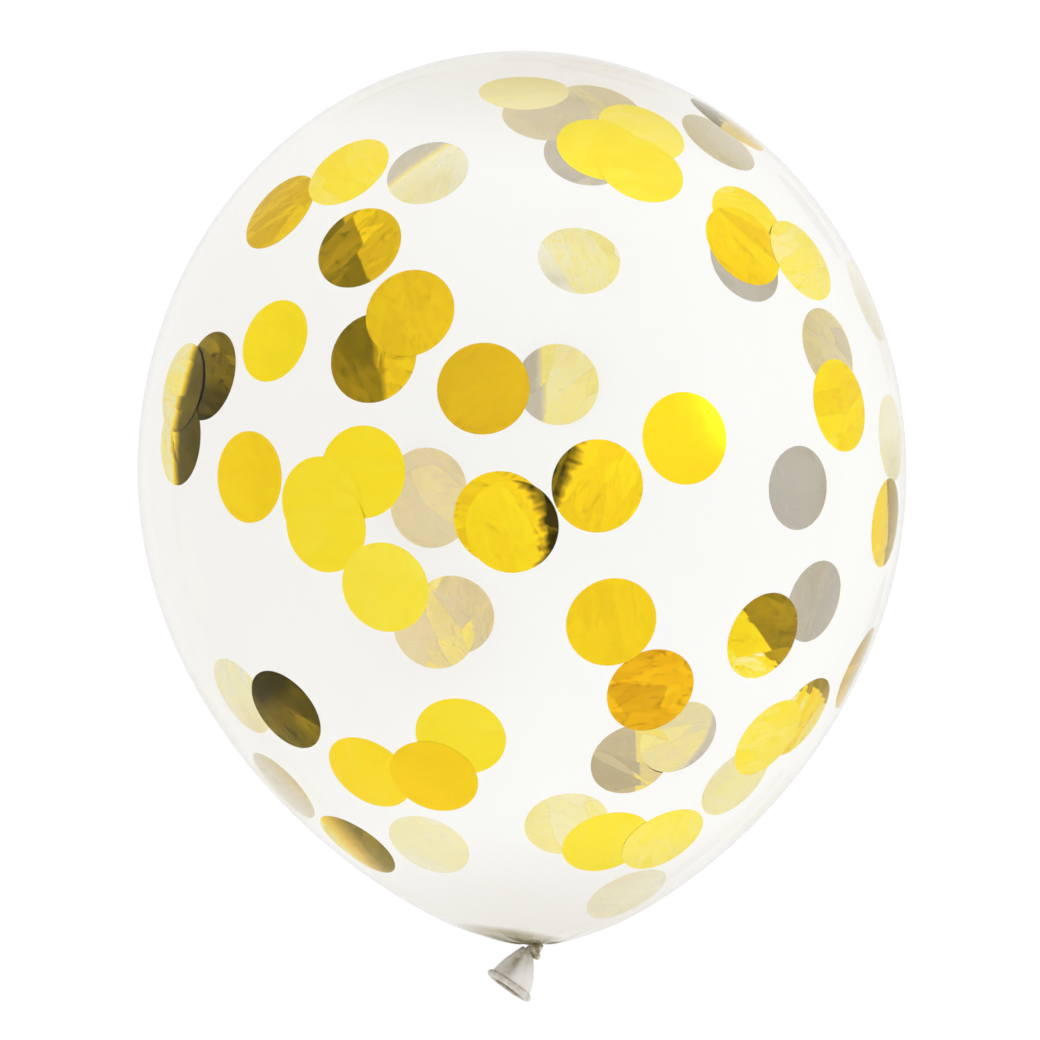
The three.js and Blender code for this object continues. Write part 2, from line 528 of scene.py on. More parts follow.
@dataclass(frozen=True)
class LightTable(Finish):
    """The pale floor, lit a little from below as a light table is."""

    name: str = "light_table"
    colour: tuple[float, float, float, float] = (0.22, 0.22, 0.22, 1.0)
    glow: float = 0.82
    roughness: float = 0.7

    def dress(self, wire: Wiring, shader: bpy.types.Node) -> None:
        """Sets plain values."""
        wire.feed(shader.inputs["Base Color"], self.colour)
        wire.feed(shader.inputs["Roughness"], self.roughness)
        wire.feed(shader.inputs["Specular IOR Level"], 0.0)
        wire.feed(shader.inputs["Emission Color"], (1.0, 1.0, 1.0, 1.0))
        wire.feed(shader.inputs["Emission Strength"], self.glow)


@dataclass
class BalloonForm:
    """The sizes of the inflated body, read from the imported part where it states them."""

    radius: float
    axis_height: float
    crown_height: float
    taper_length: float = 175 * MM
    taper_power: float = 1.375
    gather_start: float = 163 * MM
    gather: float = 0.018 / MM
    neck_radius: float = 2.5 * MM
    neck_shift: float = 4.4 * MM
    pleats: int = 10
    pleat_depth: float = 0.7 * MM
    pleat_reach: float = 24 * MM
    wall: float = 0.25 * MM
    rest_softness: float = 0.3 * MM

    @classmethod
    def from_frame(cls) -> "BalloonForm":
        """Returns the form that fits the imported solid."""
        low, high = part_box(SKIN_NODE)
        radius = (high[0] - low[0]) / 2
        return cls(radius=radius, axis_height=high[2] - radius, crown_height=high[1])

    @property
    def neck_y(self) -> float:
        """Where the taper ends and the neck begins."""
        lean = (self.neck_radius / self.radius) ** (1 / self.taper_power)
        reach = self.taper_length * math.sqrt(1 - lean**2)
        return self.gather * max(0.0, reach - self.gather_start) ** 2 - reach


@dataclass
class BalloonBody:
    """The inflated skin: an outer and an inner wall turned from one rule."""

    form: BalloonForm
    finish: Finish
    around: int = 160
    along: int = 140

    def rule(self, lining_only: bool) -> GeometryRule:
        """Builds the tree that turns the outline.

        Args:
            lining_only: True for the inner wall alone, which the confetti clings to.

        Returns:
            The tree with its inputs.
        """
        form = self.form
        rule = GeometryRule("inflated_body")
        wire = rule.wire
        radius = rule.input("Radius", form.radius)
        crown = rule.input("Crown Height", form.crown_height)
        taper = rule.input("Taper Length", form.taper_length)
        power = rule.input("Taper Power", form.taper_power)
        gather_start = rule.input("Gather Start", form.gather_start)
        gather = rule.input("Gather", form.gather)
        neck_y = rule.input("Neck Y", form.neck_y)
        neck_radius = rule.input("Neck Radius", form.neck_radius)
        neck_shift = rule.input("Neck Shift", form.neck_shift)
        axis_height = rule.input("Axis Height", form.axis_height)
        pleats = rule.input("Pleats", float(form.pleats))
        pleat_depth = rule.input("Pleat Depth", form.pleat_depth)
        pleat_reach = rule.input("Pleat Reach", form.pleat_reach)
        wall = rule.input("Wall", form.wall)
        around = rule.input("Around", self.around + 1, "Int")
        along = rule.input("Along", self.along + 1, "Int")
        lining = rule.input("Lining Only", lining_only, "Bool")
        finish = rule.input("Finish", self.finish.material(), "Material")

        sheet = wire.add(
            "GeometryNodeMeshGrid",
            {"Size X": 1.0, "Size Y": 1.0, "Vertices X": around, "Vertices Y": along},
        )
        flat = wire.add("ShaderNodeSeparateXYZ", {"Vector": wire.add("GeometryNodeInputPosition")})
        turn = wire.math("MULTIPLY", flat.outputs["X"], 2 * math.pi)
        rise = wire.math("MULTIPLY", flat.outputs["Y"], 2.0)
        below = wire.math("LESS_THAN", rise, 0.0)
        angle = wire.math("MULTIPLY", wire.math("ABSOLUTE", rise), math.pi / 2)
        lean = wire.math("MAXIMUM", wire.math("COSINE", angle), 0.0)
        bend = wire.math("MULTIPLY_ADD", below, wire.math("SUBTRACT", power, 1.0), 1.0)
        ring = wire.math("MULTIPLY", radius, wire.math("POWER", lean, bend))
        length = wire.math("MULTIPLY_ADD", below, wire.math("SUBTRACT", taper, crown), crown)
        reach = wire.math("MULTIPLY", length, wire.math("SINE", angle))
        past = wire.math("MAXIMUM", wire.math("SUBTRACT", reach, gather_start), 0.0)
        drawn = wire.math("MULTIPLY", gather, wire.math("POWER", past, 2.0))
        side = wire.math("MULTIPLY_ADD", below, -2.0, 1.0)
        y = wire.math("MULTIPLY_ADD", side, reach, wire.math("MULTIPLY", drawn, below))

        share = wire.ramp(ring, (neck_radius, pleat_reach))
        fade = wire.math("POWER", wire.math("SUBTRACT", 1.0, share), 2.0)
        to_one = 27 / 4
        swell = wire.math("MULTIPLY", wire.math("MULTIPLY", share, fade), to_one)
        ridge = wire.math("COSINE", wire.math("MULTIPLY", pleats, turn))
        ridge = wire.math("MULTIPLY_ADD", ridge, 0.5, 0.5)
        pleat = wire.math("MULTIPLY", wire.math("MULTIPLY", ridge, swell), pleat_depth)
        y_pleated = wire.math("SUBTRACT", y, wire.math("MULTIPLY", pleat, below))

        part_way = wire.math("MAXIMUM", wire.math("DIVIDE", y, neck_y), 0.0)
        shift = wire.math("MULTIPLY", neck_shift, wire.math("POWER", part_way, 2.0))
        x = wire.math("MULTIPLY_ADD", ring, wire.math("COSINE", turn), shift)
        z = wire.math("SUBTRACT", axis_height, wire.math("MULTIPLY", ring, wire.math("SINE", turn)))
        z_resting = wire.math("SMOOTH_MAX", z, 0.0, form.rest_softness)
        skin = wire.add("ShaderNodeCombineXYZ", {"X": x, "Y": y_pleated, "Z": z_resting})
        turned = rule.put(sheet.outputs["Mesh"], skin)
        outer = wire.add("GeometryNodeMergeByDistance", {"Geometry": turned, "Distance": 0.005 * MM})
        depth = wire.math("MULTIPLY", wall, -1.0)
        inward = wire.vector("SCALE", wire.add("GeometryNodeInputNormal"), depth)
        inner = wire.add("GeometryNodeSetPosition", {"Geometry": outer, "Offset": inward})
        both = wire.add("GeometryNodeJoinGeometry")
        wire.feed(both.inputs["Geometry"], outer)
        wire.feed(both.inputs["Geometry"], wire.add("GeometryNodeFlipFaces", {"Mesh": inner}))
        shown = wire.add(
            "GeometryNodeSwitch", {"Switch": lining, "False": both, "True": inner}, input_type="GEOMETRY"
        )
        smooth = wire.add("GeometryNodeSetShadeSmooth", {"Geometry": shown})
        rule.finish(smooth, finish)
        return rule

    def build(self, name: str, lining_only: bool = False) -> bpy.types.Object:
        """Makes the body.

        Args:
            name: The object's name.
            lining_only: True for the inner wall alone.

        Returns:
            The object with its plain mesh.
        """
        return self.rule(lining_only).make(name, bpy.data.meshes.new(name))


@dataclass
class TiedNeck:
    """The overhand knot in the neck and the tail that ends in the rolled lip."""

    form: BalloonForm
    finish: Finish
    knot_drop: float = 2.2 * MM
    core_radius: float = 2.5 * MM
    turn_radius: float = 2.1 * MM
    strand: float = 1.2 * MM
    collar_tilt: float = 14.0
    cross_tilt: float = -62.0
    tail_top: float = 1.5 * MM
    tail_length: float = 17.4 * MM
    root_radius: float = 2.2 * MM
    tail_side: float = 2.3 * MM
    tail_lean: float = 35.0
    wall: float = 0.75 * MM
    mouth_width: float = 18.8 * MM
    mouth_height: float = 11.4 * MM
    mouth_turn: float = 12.0
    mouth_bottom: float = 5.0 * MM
    lip: float = 1.3 * MM
    # The grooves of the lip and the turns, the tail's folds and the inside of the mouth get painted shade;
    # the tan of the knot, the root and the lip is the thick latex's own.
    lip_tan: float = 0.30
    lip_groove_shade: float = 0.8
    turn_tan: float = 0.85
    turn_groove_shade: float = 0.3
    core_tan: float = 0.9
    root_tan: float = 0.7
    inner_shade: float = 0.6
    fold_shade: float = 0.6
    fold_angles: tuple[float, ...] = (125.0, -55.0)
    fold_spread: float = 16.0
    fold_depth: float = 0.26
    swell: float = 0.12
    crimp: float = 0.06
    wrinkle: float = 0.04
    core_rings: int = 24
    core_points: int = 48
    tail_steps: int = 28
    tail_points: int = 144
    turn_points: int = 64
    strand_points: int = 28

    def knot_centre(self) -> Vector:
        """Returns the middle of the knot."""
        return Vector((self.form.neck_shift, self.form.neck_y - self.knot_drop, self.form.axis_height))

    def skin_rings(
        self, bm: bmesh.types.BMesh, rings: list[list[tuple[Vector, float]]], ring_closed: bool
    ) -> None:
        """Skins a row of rings that have the same number of points.

        Args:
            bm: The mesh to add to.
            rings: The rings in order, each point with its tan and painted fold shade.
            ring_closed: True where the last ring joins the first, False where both ends are capped.
        """
        folds = bm.verts.layers.float["fold"]
        loops = []
        for ring in rings:
            loop = []
            for point, fold in ring:
                vert = bm.verts.new(point + self.knot_centre())
                vert[folds] = fold
                loop.append(vert)
            loops.append(loop)
        pairs = list(zip(loops, loops[1:])) + ([(loops[-1], loops[0])] if ring_closed else [])
        faces = []
        for first, second in pairs:
            for i in range(len(first)):
                j = (i + 1) % len(first)
                faces.append(bm.faces.new((first[i], first[j], second[j], second[i])))
        if not ring_closed:
            faces += [bm.faces.new(loops[0]), bm.faces.new(loops[-1])]
        bmesh.ops.recalc_face_normals(bm, faces=faces)

    def add_turn(self, bm: bmesh.types.BMesh, tilt: float, lift: float) -> None:
        """Adds one turn of the neck round the knot.

        Args:
            bm: The mesh to add to.
            tilt: How far the turn leans over, in degrees.
            lift: How far it stands above the knot's centre.
        """
        lean = Matrix.Rotation(math.radians(tilt), 3, "Z")
        rings = []
        for i in range(self.turn_points):
            angle = 2 * math.pi * i / self.turn_points
            out = Vector((math.cos(angle), 0, math.sin(angle)))
            swell = self.strand * (1 + self.swell * math.sin(3 * angle + tilt))
            ring = []
            for j in range(self.strand_points):
                turn = 2 * math.pi * j / self.strand_points
                crimp = swell * (1 + self.crimp * math.cos(5 * turn + 2 * angle))
                point = out * (self.turn_radius + crimp * math.cos(turn))
                point.y = crimp * math.sin(turn)
                # Painted shade in the grooves where the turns meet, over the knot's tan.
                tan_and_groove_shade = self.turn_tan + self.turn_groove_shade * math.sin(turn) ** 4
                ring.append((lean @ point + Vector((0, lift, 0)), tan_and_groove_shade))
            rings.append(ring)
        self.skin_rings(bm, rings, ring_closed=True)

    def add_core(self, bm: bmesh.types.BMesh) -> None:
        """Adds the round core that the turns close on."""
        rings = []
        for i in range(1, self.core_rings):
            angle = math.pi * i / self.core_rings
            radius = self.core_radius * math.sin(angle)
            rise = self.core_radius * math.cos(angle)
            ring = []
            for j in range(self.core_points):
                turn = 2 * math.pi * j / self.core_points
                place = Vector((radius * math.cos(turn), rise, radius * math.sin(turn)))
                ring.append((place, self.core_tan))
            rings.append(ring)
        self.skin_rings(bm, rings, ring_closed=False)

    def fold_at(self, angle: float) -> float:
        """Returns how deep the folds are at an angle round the tail: 1 in the bottom of a fold."""
        spread = math.radians(self.fold_spread) ** 2
        offsets = [1 - math.cos(angle - math.radians(fold)) for fold in self.fold_angles]
        return max(math.exp(-off / spread) for off in offsets)

    def tail_outline(self) -> list[tuple[float, float, float]]:
        """Returns radius, drop and tan along the tail, the tan with painted shade in the lip's groove and
        inside: down the outside, round the lip, up inside.
        """
        lip_radius = self.mouth_width / 2 - self.lip
        lip_drop = self.tail_length - self.lip
        steps = self.tail_steps

        def wall_radius(drop: float) -> float:
            """Returns the funnel's outer radius at a drop below the knot."""
            flare = math.sin(math.pi / 2 * (drop - self.tail_top) / (lip_drop - self.tail_top))
            return self.root_radius + (lip_radius - self.root_radius) * flare

        outline = []
        for i in range(steps):
            drop = self.tail_top + (lip_drop - self.tail_top) * i / steps
            outline.append((wall_radius(drop), drop, self.root_tan * (1 - i / steps) ** 4))
        for i in range(steps + 1):
            angle = math.pi / 2 * (1 - 3 * i / steps)
            rolled = (lip_radius + self.lip * math.cos(angle), lip_drop - self.lip * math.sin(angle))
            # Painted shade in the groove where the rolled lip meets the wall.
            outline.append((*rolled, self.lip_tan + self.lip_groove_shade * abs(2 * i / steps - 1) ** 3))
        for i in range(steps - 1, 0, -1):
            drop = self.mouth_bottom + (lip_drop - self.mouth_bottom) * i / steps
            inner = max(wall_radius(drop) - self.wall, 0.1 * MM)
            # Painted shade inside the mouth.
            outline.append((inner * min(1.0, 4 * i / steps), drop, self.inner_shade))
        return outline

    def add_tail(self, bm: bmesh.types.BMesh) -> None:
        """Adds the folded oval funnel with its rolled lip, leaning from the knot."""
        oval = self.mouth_height / self.mouth_width
        pose = Matrix.Rotation(math.radians(-self.tail_lean), 3, "Z")
        pose = pose @ Matrix.Rotation(math.radians(-self.mouth_turn), 3, "X")
        rings = []
        for radius, drop, tan in self.tail_outline():
            along = min(1.0, drop / self.tail_length)
            ring = []
            for j in range(self.tail_points):
                angle = 2 * math.pi * j / self.tail_points
                pinch = self.fold_at(angle) * math.sin(math.pi * along)
                wrinkle = self.wrinkle * math.sin(11 * angle + 4 * along) * (1 - along)
                reach = radius * (1 - self.fold_depth * pinch + wrinkle)
                x = reach * math.cos(angle) - self.tail_side * (1 - along) ** 2
                z = reach * math.sin(angle) * (1 + (oval - 1) * along)
                # The folds get painted shade.
                ring.append((pose @ Vector((x, -drop, z)), max(tan, self.fold_shade * pinch)))
            rings.append(ring)
        self.skin_rings(bm, rings, ring_closed=False)

    def add_to(self, bm: bmesh.types.BMesh) -> None:
        """Adds the knot and the tail to a mesh that has a 'fold' layer for their tan and painted fold
        shade.

        Args:
            bm: The mesh of the whole skin.
        """
        self.add_core(bm)
        self.add_turn(bm, self.collar_tilt, self.strand / 2)
        self.add_turn(bm, self.cross_tilt, -self.strand / 2)
        self.add_tail(bm)


class Wall(Enum):
    """Which wall a disc clings to, seen from the camera."""

    NEAR = "near"
    FAR = "far"


@dataclass(frozen=True)
class FoilDisc:
    """One foil disc, placed by where its middle shows in the photograph.

    The tone is the disc's painted brightness, from dark (0) to bright (1): how light its reflection
    shows, put into the colour. The shade is the share of the disc under painted shade, on the side at
    the given angle, counted anticlockwise from the right of the picture. Dusk is the tone there, soft is
    how gradual its border is, feather is how ragged, and bow is how far the border follows the rim.
    The lift is how far that side stands off the wall. Warm discs are more orange.
    """

    column: float
    row: float
    tone: float
    crease: float = 0.2
    layer: int = 0
    shade: float = 0.0
    side: float = 0.0
    warm: float = 0.0
    dusk: float = 0.12
    soft: float = 0.0
    feather: float = 0.0
    bow: float = 0.0
    lift: float = 0.0
    size: float = 1.0

    @property
    def shade_start(self) -> float:
        """Where the painted shade starts, from -1 to 1 across the disc, and far off where there is none.
        """
        edge = 1 - 2 * self.shade
        return edge + self.bow * edge**2 if self.shade else 9.0


@dataclass(frozen=True)
class PlacedDisc:
    """A disc with its place on the lining."""

    disc: FoilDisc
    wall: Wall
    centre: Vector
    facing: Vector

    @property
    def way(self) -> Vector:
        """The direction of the disc's painted shade side, along the disc."""
        turn = math.radians(self.disc.side)
        pointed = Vector((math.cos(turn), math.sin(turn), 0))
        return (pointed - self.facing * pointed.dot(self.facing)).normalized()

    @property
    def beside(self) -> Vector:
        """The direction along the border of the painted shade."""
        return self.facing.cross(self.way)

    def tone(self, wall: Wall, hidden: float) -> float:
        """Returns the disc's own tone on the side that the camera sees, and a given one behind.

        Args:
            wall: The wall whose discs show the side in question.
            hidden: The tone of that side on the other wall's discs.

        Returns:
            The tone.
        """
        return self.disc.tone if self.wall is wall else hidden


# The tones, shades and dusks listed here are painted reflection brightness and painted shade.
NEAR_DISCS = (
    FoilDisc(524, 87, 0.99, 0.02, side=90, lift=2.5 * MM),
    FoilDisc(602, 147, 0.925, 0.02, 1, warm=0.05),
    FoilDisc(643, 129, 0.94, 0.02, 2),
    FoilDisc(641, 167, 0.925, 0.03, warm=0.05),
    FoilDisc(751, 221, 0.925, 0.1, 3, warm=0.1),
    FoilDisc(745, 244, 0.83, 0.25, 1, warm=0.1),
    FoilDisc(803, 259, 0.95, 0.05),
    FoilDisc(729, 122, 0.85, 0.3, 0, 0.4, 145),
    FoilDisc(347, 170, 0.93, 0.05, warm=0.1),
    FoilDisc(278, 210, 0.70, 0.3, 1),
    FoilDisc(358, 246, 0.71, 0.4, 0, 0.5, 200, dusk=0.37),
    FoilDisc(409, 312, 0.71, 0.15),
    FoilDisc(372, 357, 0.72, 0.35, 2, 0.58, 185, dusk=0.34, soft=0.06),
    FoilDisc(273, 340, 0.90, 0.02, size=0.93),
    FoilDisc(206, 375, 0.26, 0.5, 4, 0.45, 240, dusk=0.08, soft=0.1),
    FoilDisc(180, 387, 0.985, 0.15, 0, 0.42, -15, dusk=0.14, soft=0.15),
    FoilDisc(177, 440, 0.985, 0.15, 2, 0.58, 0, dusk=0.10, soft=0.15),
    FoilDisc(483, 388, 0.64, 0.1),
    FoilDisc(686, 438, 0.85, 0.02),
    FoilDisc(842, 405, 0.87, 0.25, size=1.03),
    FoilDisc(247, 477, 0.82, 0.1),
    FoilDisc(361, 472, 0.905, 0.02, 3),
    FoilDisc(319, 503, 0.91, 0.02, 2),
    FoilDisc(324, 527, 0.91, 0.02, 1),
    FoilDisc(384, 588, 0.925, 0.02),
    FoilDisc(500, 518, 0.79, 0.3, 2),
    FoilDisc(512, 527, 0.86, 0.2, 0, 0.20, 17, dusk=0.03, soft=0.14, feather=0.65, bow=0.3),
    FoilDisc(598, 486, 0.81, 0.2, 0, 0.13, 160, dusk=0.03, soft=0.14, feather=0.55),
    FoilDisc(612, 623, 0.80, 0.12),
    FoilDisc(652, 692, 0.76, 0.4, 2, warm=0.7),
    FoilDisc(765, 637, 0.90, 0.3, 0, 0.55, 35, dusk=0.42),
    FoilDisc(888, 523, 0.86, 0.2, 0, 0.5, 0, dusk=0.42),
    FoilDisc(770, 739, 0.93, 0.05, warm=0.08),
    FoilDisc(803, 718, 0.90, 0.4, 1, 0.2, 60, dusk=0.45),
    FoilDisc(858, 669, 0.60, 0.4),
    FoilDisc(460, 738, 0.91, 0.03, 1),
    FoilDisc(433, 778, 0.87, 0.04, warm=0.35),
    FoilDisc(368, 774, 0.905, 0.03, 1, warm=0.2),
    FoilDisc(284, 711, 0.24, 0.6, 0, 0.35, 135, dusk=0.02, soft=0.3),
    FoilDisc(607, 844, 0.92, 0.03, 1),
    FoilDisc(664, 841, 0.94, 0.04),
    FoilDisc(356, 846, 0.95, 0.3, 0, 0.55, 40, dusk=0.30, soft=0.5),
)

FAR_DISCS = (
    FoilDisc(427, 171, 0.90, 0.4, 0, 0.28, 125, dusk=0.3, soft=0.1),
    FoilDisc(580, 256, 0.90, 0.5, side=90, lift=6 * MM),
    FoilDisc(558, 384, 0.76, 0.3, 0, 0.28, 180, dusk=0.10, soft=0.08),
    FoilDisc(545, 113, 0.54, 0.25, 2),
    FoilDisc(600, 103, 0.51, 0.25, 4),
    FoilDisc(586, 154, 0.85, 0.4, 0, 0.4, 230, dusk=0.25),
    FoilDisc(720, 140, 0.40, 0.2),
    FoilDisc(746, 263, 0.08, 0.3),
    FoilDisc(831, 348, 0.54, 0.4, warm=0.15),
    FoilDisc(868, 300, 1.0, 0.1),
    FoilDisc(893, 438, 0.86, 0.2),
    FoilDisc(800, 488, 0.03, 0.2),
    FoilDisc(816, 602, 0.06, 0.3),
    FoilDisc(426, 489, 0.47, 0.25, warm=0.5),
    FoilDisc(430, 507, 0.47, 0.3, 2, warm=0.5),
    FoilDisc(433, 631, 0.56, 0.5, 4, warm=0.6),
    FoilDisc(453, 616, 0.62, 0.6, warm=0.6),
    FoilDisc(632, 761, 0.20, 0.6, 0, 0.45, 0, warm=0.9, dusk=0.70),
    FoilDisc(680, 739, 0.64, 0.3, 4, 0.12, -30, warm=0.15, dusk=0.25, soft=0.1, bow=0.6),
    FoilDisc(428, 846, 0.94, 0.2),
    FoilDisc(567, 825, 0.82, 0.2),
    FoilDisc(737, 783, 0.86, 0.2),
    FoilDisc(628, 896, 0.97, 0.1),
    FoilDisc(240, 697, 0.93, 0.3),
    FoilDisc(282, 787, 0.45, 0.3),
)


OWN_VALUES = ("crease", "layer", "shade_start", "warm", "dusk", "soft", "feather", "bow", "lift", "size")


@dataclass
class Confetti:
    """The foil discs that cling to the inner wall."""

    lining: bpy.types.Object
    camera: bpy.types.Object
    face: Finish
    back: Finish
    disc_radius: float = 16.0 * MM
    thickness: float = 0.08 * MM
    gap: float = 0.22 * MM
    layer_step: float = 0.14 * MM
    fold_count: int = 4
    fold_slope: float = 0.035
    fold_softness: float = 0.5 * MM
    ripple: float = 0.25 * MM
    ripple_scale: float = 1 / (9 * MM)
    ripple_share: tuple[float, float] = (0.3, 1.6)
    ripple_apart: float = 3.7
    lift_softness: float = 0.2 * MM
    fold_reach: float = 0.7
    rim_angle: float = 0.9
    cast_above: float = 20 * MM
    cast_length: float = 80 * MM
    around: int = 48
    rings: int = 12
    seed: int = 7
    hidden_faces: tuple[float, float] = (0.68, 0.92)
    hidden_backs: tuple[float, float] = (0.15, 0.85)
    hidden_step: float = 0.618

    def ray(self, disc: FoilDisc) -> Vector:
        """Returns the direction in which the camera sees a disc's middle."""
        lens = self.camera.data.lens / self.camera.data.sensor_width * IMAGE_SIDE
        middle = IMAGE_SIDE / 2
        return Vector((disc.column - middle, middle - disc.row, -lens)).normalized()

    def seeds(self, name: str) -> bpy.types.Mesh:
        """Finds where each disc lies on the lining.

        Args:
            name: The mesh's name.

        Returns:
            One point for each disc, with the disc's facing, tones and number.
        """
        mesh = self.lining.data
        tree = BVHTree.FromPolygons(
            [v.co for v in mesh.vertices], [tuple(p.vertices) for p in mesh.polygons]
        )
        eye = self.camera.location
        low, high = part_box(SKIN_NODE)
        middle = (Vector(low) + Vector(high)) / 2
        placed = []
        for wall, discs in ((Wall.NEAR, NEAR_DISCS), (Wall.FAR, FAR_DISCS)):
            for disc in discs:
                ray = self.ray(disc)
                hit, normal, _, _ = tree.ray_cast(eye, ray)
                if hit is None:
                    log.warning("no wall at %s, %s", disc.column, disc.row)
                    continue
                if wall is Wall.FAR:
                    hit, normal, _, _ = tree.ray_cast(hit + ray * MM, ray)
                facing = normal if normal.dot(middle - hit) > 0 else -normal
                placed.append(PlacedDisc(disc, wall, hit, facing))
        seeds = bpy.data.meshes.new(name)
        seeds.from_pydata([place.centre for place in placed], [], [])
        for title in ("facing", "centre", "way", "beside"):
            numbers = [number for place in placed for number in getattr(place, title)]
            seeds.attributes.new(title, "FLOAT_VECTOR", "POINT").data.foreach_set("vector", numbers)
        for title in OWN_VALUES:
            numbers = [float(getattr(place.disc, title)) for place in placed]
            seeds.attributes.new(title, "FLOAT", "POINT").data.foreach_set("value", numbers)
        spread = [(i * self.hidden_step) % 1 for i in range(len(placed))]
        for title, wall, (low, high) in (
            ("face_tone", Wall.NEAR, self.hidden_faces),
            ("back_tone", Wall.FAR, self.hidden_backs),
        ):
            numbers = [
                place.tone(wall, low + (high - low) * share) for place, share in zip(placed, spread)
            ]
            seeds.attributes.new(title, "FLOAT", "POINT").data.foreach_set("value", numbers)
        seeds.attributes.new("disc", "INT", "POINT").data.foreach_set("value", list(range(len(placed))))
        return seeds

    def rule(self) -> GeometryRule:
        """Builds the tree that lays a creased disc on the lining at each point."""
        rule = GeometryRule("foil_confetti")
        wire = rule.wire
        lining = rule.input("Lining", self.lining, "Object")
        radius = rule.input("Disc Radius", self.disc_radius)
        thickness = rule.input("Foil Thickness", self.thickness)
        gap = rule.input("Gap", self.gap)
        step = rule.input("Layer Step", self.layer_step)
        slope = rule.input("Fold Slope", self.fold_slope)
        softness = rule.input("Fold Softness", self.fold_softness)
        ripple = rule.input("Ripple", self.ripple)
        ripple_scale = rule.input("Ripple Scale", self.ripple_scale)
        around = rule.input("Around", self.around + 1, "Int")
        rings = rule.input("Rings", self.rings + 1, "Int")
        seed = rule.input("Seed", self.seed, "Int")
        face = rule.input("Face Finish", self.face.material(), "Material")
        back = rule.input("Back Finish", self.back.material(), "Material")

        def named(name: str, kind: str = "FLOAT") -> bpy.types.NodeSocket:
            """Returns an attribute of the points."""
            node = wire.add("GeometryNodeInputNamedAttribute", {"Name": name}, data_type=kind)
            return node.outputs["Attribute"]

        def chance(low: float, high: float, draw: int) -> bpy.types.NodeSocket:
            """Returns a random number for each disc, from a seed of its own."""
            node = wire.add("FunctionNodeRandomValue", data_type="FLOAT")
            sockets = {s.identifier: s for s in node.inputs}
            outputs = {s.identifier: s for s in node.outputs}
            wire.feed(sockets["Min_001"], low)
            wire.feed(sockets["Max_001"], high)
            wire.feed(sockets["ID"], named("disc", "INT"))
            wire.feed(sockets["Seed"], wire.math("ADD", seed, float(draw)))
            return outputs["Value_001"]

        sheet = wire.add(
            "GeometryNodeMeshGrid",
            {"Size X": 1.0, "Size Y": 1.0, "Vertices X": around, "Vertices Y": rings},
        )
        place = wire.add("ShaderNodeSeparateXYZ", {"Vector": wire.add("GeometryNodeInputPosition")})
        turn = wire.math("MULTIPLY", place.outputs["X"], 2 * math.pi)
        out = wire.math("MULTIPLY", wire.math("ADD", place.outputs["Y"], 0.5), radius)
        disc_x = wire.math("MULTIPLY", out, wire.math("COSINE", turn))
        disc_y = wire.math("MULTIPLY", out, wire.math("SINE", turn))
        round_sheet = rule.put(
            sheet.outputs["Mesh"], wire.add("ShaderNodeCombineXYZ", {"X": disc_x, "Y": disc_y})
        )
        cut = wire.add("GeometryNodeMergeByDistance", {"Geometry": round_sheet, "Distance": 0.01 * MM})
        marked = rule.store(cut, "flat", wire.add("GeometryNodeInputPosition"))
        facing = named("facing", "FLOAT_VECTOR")
        spin = wire.add("ShaderNodeCombineXYZ", {"Z": chance(0.0, 2 * math.pi, 0)})
        spun = wire.add("FunctionNodeEulerToRotation", {"Euler": spin})
        aligned = wire.add(
            "FunctionNodeAlignRotationToVector", {"Rotation": spun, "Vector": facing}, axis="Z"
        )
        points = wire.add("GeometryNodeMeshToPoints", {"Mesh": rule.source.outputs["Geometry"]})
        scattered = wire.add(
            "GeometryNodeInstanceOnPoints",
            {"Points": points, "Instance": marked, "Rotation": aligned, "Scale": named("size")},
        )
        loose = wire.add("GeometryNodeRealizeInstances", {"Geometry": scattered})

        crease = named("crease")
        flat = named("flat", "FLOAT_VECTOR")
        folds: Any = 0.0
        for i in range(self.fold_count):
            angle = chance(0.0, 2 * math.pi, 3 * i + 1)
            way = wire.add(
                "ShaderNodeCombineXYZ", {"X": wire.math("COSINE", angle), "Y": wire.math("SINE", angle)}
            )
            offset = wire.math("MULTIPLY", chance(-self.fold_reach, self.fold_reach, 3 * i + 2), radius)
            off = wire.math("SUBTRACT", wire.vector("DOT_PRODUCT", flat, way), offset)
            square = wire.math("MULTIPLY_ADD", softness, softness, wire.math("MULTIPLY", off, off))
            tent = wire.math("SQRT", square)
            folds = wire.math("MULTIPLY_ADD", tent, chance(-1.0, 1.0, 3 * i + 3), folds)
        folded = wire.math("MULTIPLY", wire.math("MULTIPLY", folds, slope), crease)
        noise = wire.add(
            "ShaderNodeTexNoise",
            {
                "Vector": flat,
                "W": wire.math("MULTIPLY", named("disc", "INT"), self.ripple_apart),
                "Scale": ripple_scale,
                "Detail": 2.0,
            },
            noise_dimensions="4D",
        )
        wavy = wire.math("MULTIPLY", wire.math("SUBTRACT", noise.outputs["Fac"], 0.5), ripple)
        least, more = self.ripple_share
        wavy = wire.math("MULTIPLY", wavy, wire.math("MULTIPLY_ADD", crease, more, least))
        lift = wire.math("SMOOTH_MAX", wire.math("ADD", folded, wavy), 0.0, self.lift_softness)
        height = wire.math("ADD", wire.math("MULTIPLY_ADD", named("layer"), step, gap), lift)

